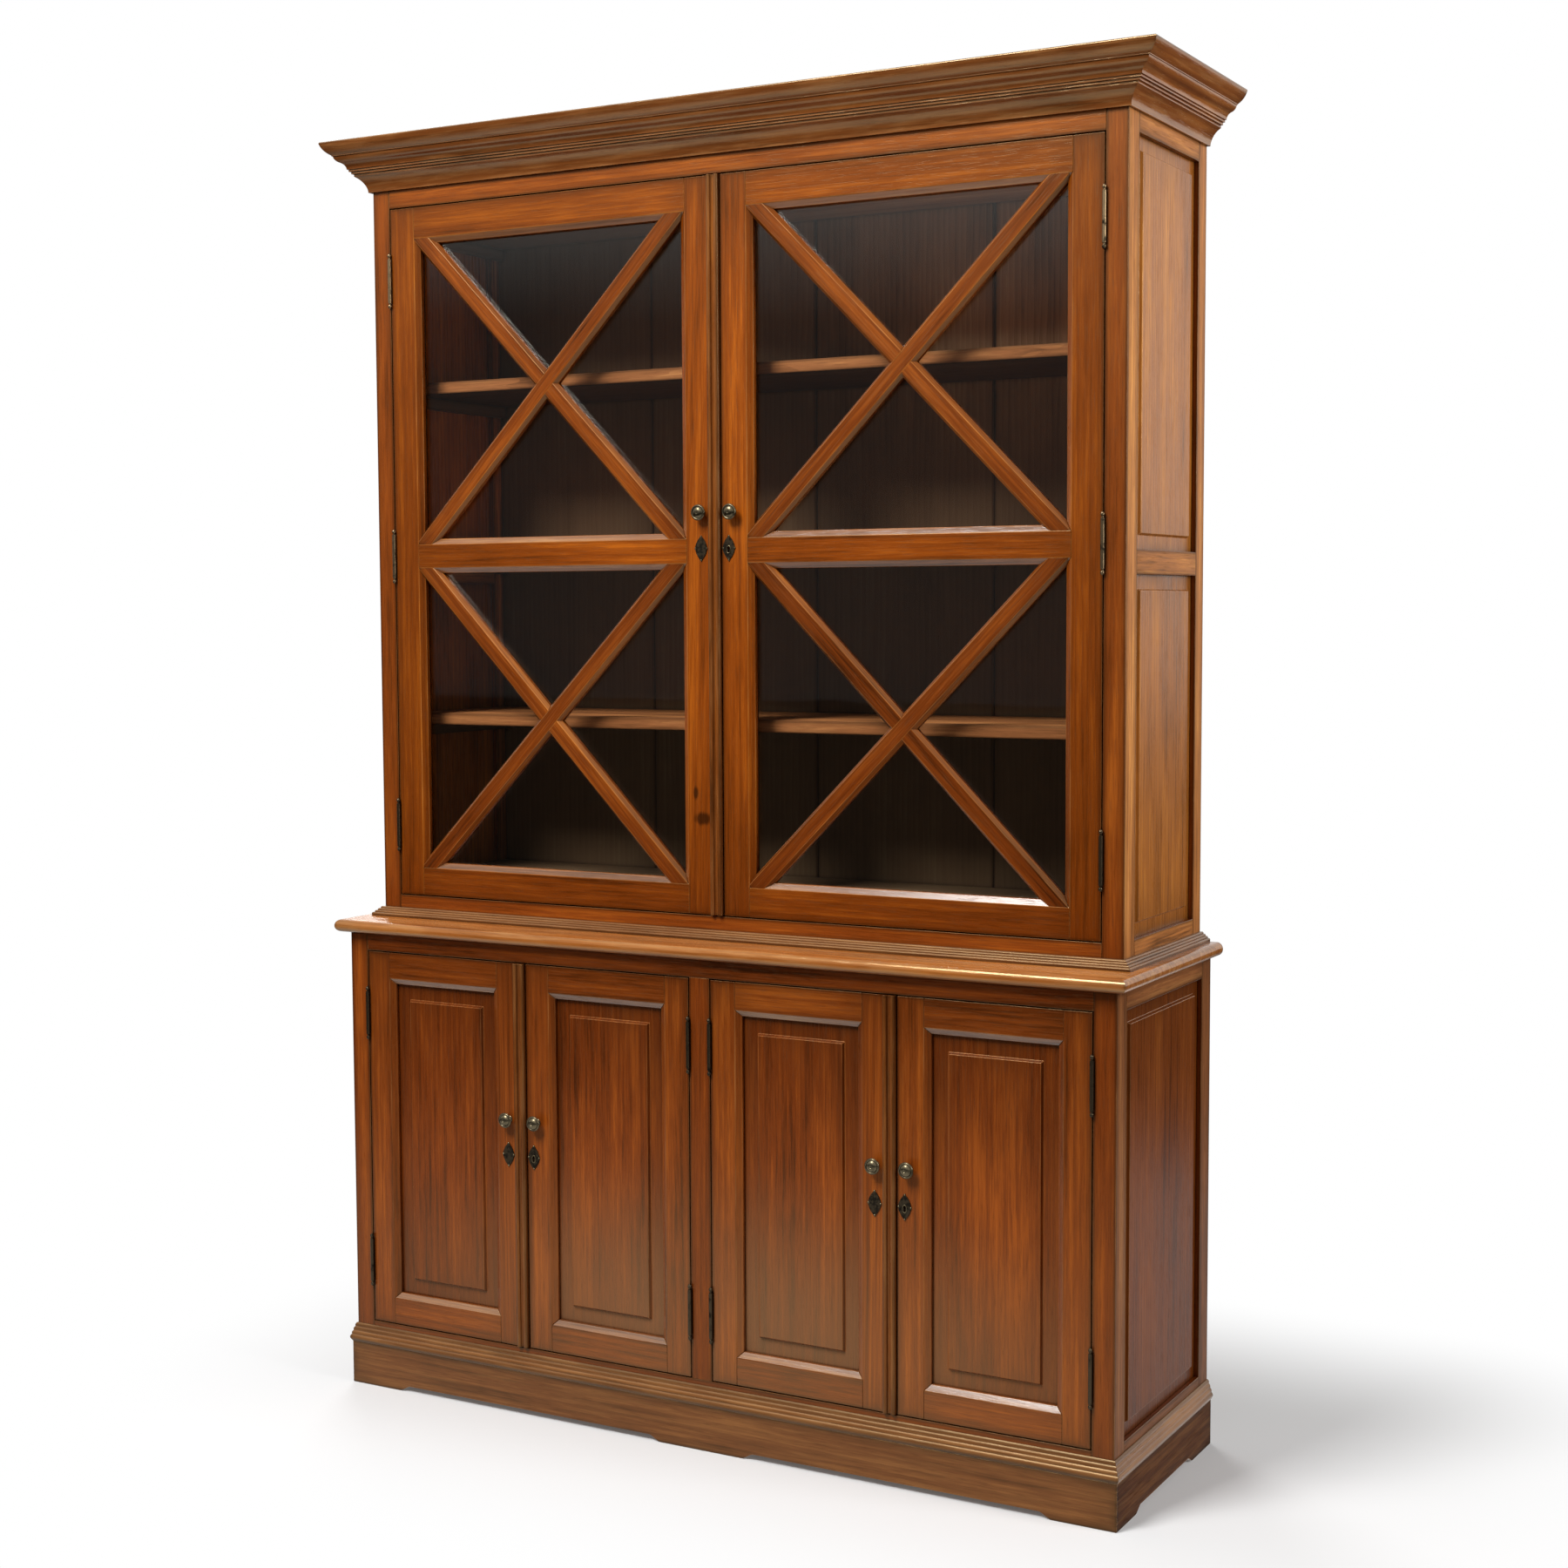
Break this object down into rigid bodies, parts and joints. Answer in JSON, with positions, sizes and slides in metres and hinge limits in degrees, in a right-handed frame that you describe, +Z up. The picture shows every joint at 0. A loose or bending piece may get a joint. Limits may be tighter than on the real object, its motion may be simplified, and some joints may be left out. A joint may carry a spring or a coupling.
{
  "type": "bookcase with glass doors",
  "caption": "Tall wooden bookcase: glazed doors with crossed bars above, panelled cupboard doors below, stepped cornice, low plinth; doors swing on butt hinges and lock bolts slide.",
  "frame": {"origin": "on the floor under the centre of the bounding box", "axes": "+X to the right seen from the front, +Y from front to back, +Z up; the doors face -Y"},
  "size_m": [1.678, 0.4836, 2.4],
  "materials": {
    "teak": "satin varnish",
    "teak_panel": "satin varnish",
    "inside_wood": "dark matt stain",
    "glass": "clear",
    "aged_brass": "worn polish",
    "hinge_brass": "tarnished",
    "dark_metal": "dark patina"
  },
  "bodies": {
    "case": {"back_boards": "inside_wood", "base_moulding": "teak", "case_boards": "inside_wood", "cornice_moulding": "teak", "hinge_case_leaves": "hinge_brass", "hinge_pins": "hinge_brass", "lower_front_frame": "teak", "lower_side_frames": "teak", "lower_side_panels": "teak_panel", "plinth_boards": "teak", "shelf_cleats": "inside_wood", "shelves": "inside_wood", "upper_front_rails": "teak", "upper_side_frames": "teak", "upper_side_panels": "teak_panel", "waist_moulding": "teak", "waist_slab": "teak"},
    "upper_left_door": {"upper_left_door_cross_bars": "teak", "upper_left_door_frame": "teak", "upper_left_door_glass": "glass", "upper_left_door_glazing_beads": "teak", "upper_left_door_hinge_leaves": "hinge_brass", "upper_left_door_key_plate": "dark_metal", "upper_left_door_knob": "aged_brass"},
    "upper_right_door": {"upper_right_door_cross_bars": "teak", "upper_right_door_frame": "teak", "upper_right_door_glass": "glass", "upper_right_door_glazing_beads": "teak", "upper_right_door_hinge_leaves": "hinge_brass", "upper_right_door_key_plate": "dark_metal", "upper_right_door_knob": "aged_brass", "upper_right_door_lock": "dark_metal"},
    "lower_outer_left_door": {"lower_outer_left_door_frame": "teak", "lower_outer_left_door_hinge_leaves": "hinge_brass", "lower_outer_left_door_key_plate": "dark_metal", "lower_outer_left_door_knob": "aged_brass", "lower_outer_left_door_panel": "teak_panel"},
    "lower_inner_left_door": {"lower_inner_left_door_frame": "teak", "lower_inner_left_door_hinge_leaves": "hinge_brass", "lower_inner_left_door_key_plate": "dark_metal", "lower_inner_left_door_knob": "aged_brass", "lower_inner_left_door_lock": "dark_metal", "lower_inner_left_door_panel": "teak_panel"},
    "lower_inner_right_door": {"lower_inner_right_door_frame": "teak", "lower_inner_right_door_hinge_leaves": "hinge_brass", "lower_inner_right_door_key_plate": "dark_metal", "lower_inner_right_door_knob": "aged_brass", "lower_inner_right_door_panel": "teak_panel"},
    "lower_outer_right_door": {"lower_outer_right_door_frame": "teak", "lower_outer_right_door_hinge_leaves": "hinge_brass", "lower_outer_right_door_key_plate": "dark_metal", "lower_outer_right_door_knob": "aged_brass", "lower_outer_right_door_lock": "dark_metal", "lower_outer_right_door_panel": "teak_panel"},
    "upper_left_door_slip_bolt": {"upper_left_door_slip_bolt": "dark_metal"},
    "upper_right_door_lock_bolt": {"upper_right_door_lock_bolt": "dark_metal"},
    "lower_outer_left_door_slip_bolt": {"lower_outer_left_door_slip_bolt": "dark_metal"},
    "lower_inner_left_door_lock_bolt": {"lower_inner_left_door_lock_bolt": "dark_metal"},
    "lower_inner_right_door_slip_bolt": {"lower_inner_right_door_slip_bolt": "dark_metal"},
    "lower_outer_right_door_lock_bolt": {"lower_outer_right_door_lock_bolt": "dark_metal"}
  },
  "joints": [
    {"name": "upper_left_door_swing", "type": "hinge", "parent": "case", "child": "upper_left_door", "pos_m": [-0.7275, -0.14225, 1.614], "axis": [0, 0, -1], "range_deg": [0, 170]},
    {"name": "upper_right_door_swing", "type": "hinge", "parent": "case", "child": "upper_right_door", "pos_m": [0.7275, -0.14225, 1.614], "axis": [0, 0, 1], "range_deg": [0, 170]},
    {"name": "lower_outer_left_door_swing", "type": "hinge", "parent": "case", "child": "lower_outer_left_door", "pos_m": [-0.746, -0.22325, 0.49], "axis": [0, 0, -1], "range_deg": [0, 170]},
    {"name": "lower_inner_left_door_swing", "type": "hinge", "parent": "case", "child": "lower_inner_left_door", "pos_m": [-0.022, -0.22325, 0.49], "axis": [0, 0, 1], "range_deg": [0, 85]},
    {"name": "lower_inner_right_door_swing", "type": "hinge", "parent": "case", "child": "lower_inner_right_door", "pos_m": [0.022, -0.22325, 0.49], "axis": [0, 0, -1], "range_deg": [0, 85]},
    {"name": "lower_outer_right_door_swing", "type": "hinge", "parent": "case", "child": "lower_outer_right_door", "pos_m": [0.746, -0.22325, 0.49], "axis": [0, 0, 1], "range_deg": [0, 170]},
    {"name": "upper_left_door_slip_bolt_slide", "type": "slide", "parent": "upper_left_door", "child": "upper_left_door_slip_bolt", "axis": [0, 0, 1], "range_m": [0, 0.012]},
    {"name": "upper_right_door_lock_bolt_slide", "type": "slide", "parent": "upper_right_door", "child": "upper_right_door_lock_bolt", "axis": [-1, 0, 0], "range_m": [0, 0.008]},
    {"name": "lower_outer_left_door_slip_bolt_slide", "type": "slide", "parent": "lower_outer_left_door", "child": "lower_outer_left_door_slip_bolt", "axis": [0, 0, 1], "range_m": [0, 0.012]},
    {"name": "lower_inner_left_door_lock_bolt_slide", "type": "slide", "parent": "lower_inner_left_door", "child": "lower_inner_left_door_lock_bolt", "axis": [-1, 0, 0], "range_m": [0, 0.008]},
    {"name": "lower_inner_right_door_slip_bolt_slide", "type": "slide", "parent": "lower_inner_right_door", "child": "lower_inner_right_door_slip_bolt", "axis": [0, 0, 1], "range_m": [0, 0.012]},
    {"name": "lower_outer_right_door_lock_bolt_slide", "type": "slide", "parent": "lower_outer_right_door", "child": "lower_outer_right_door_lock_bolt", "axis": [-1, 0, 0], "range_m": [0, 0.008]}
  ]
}
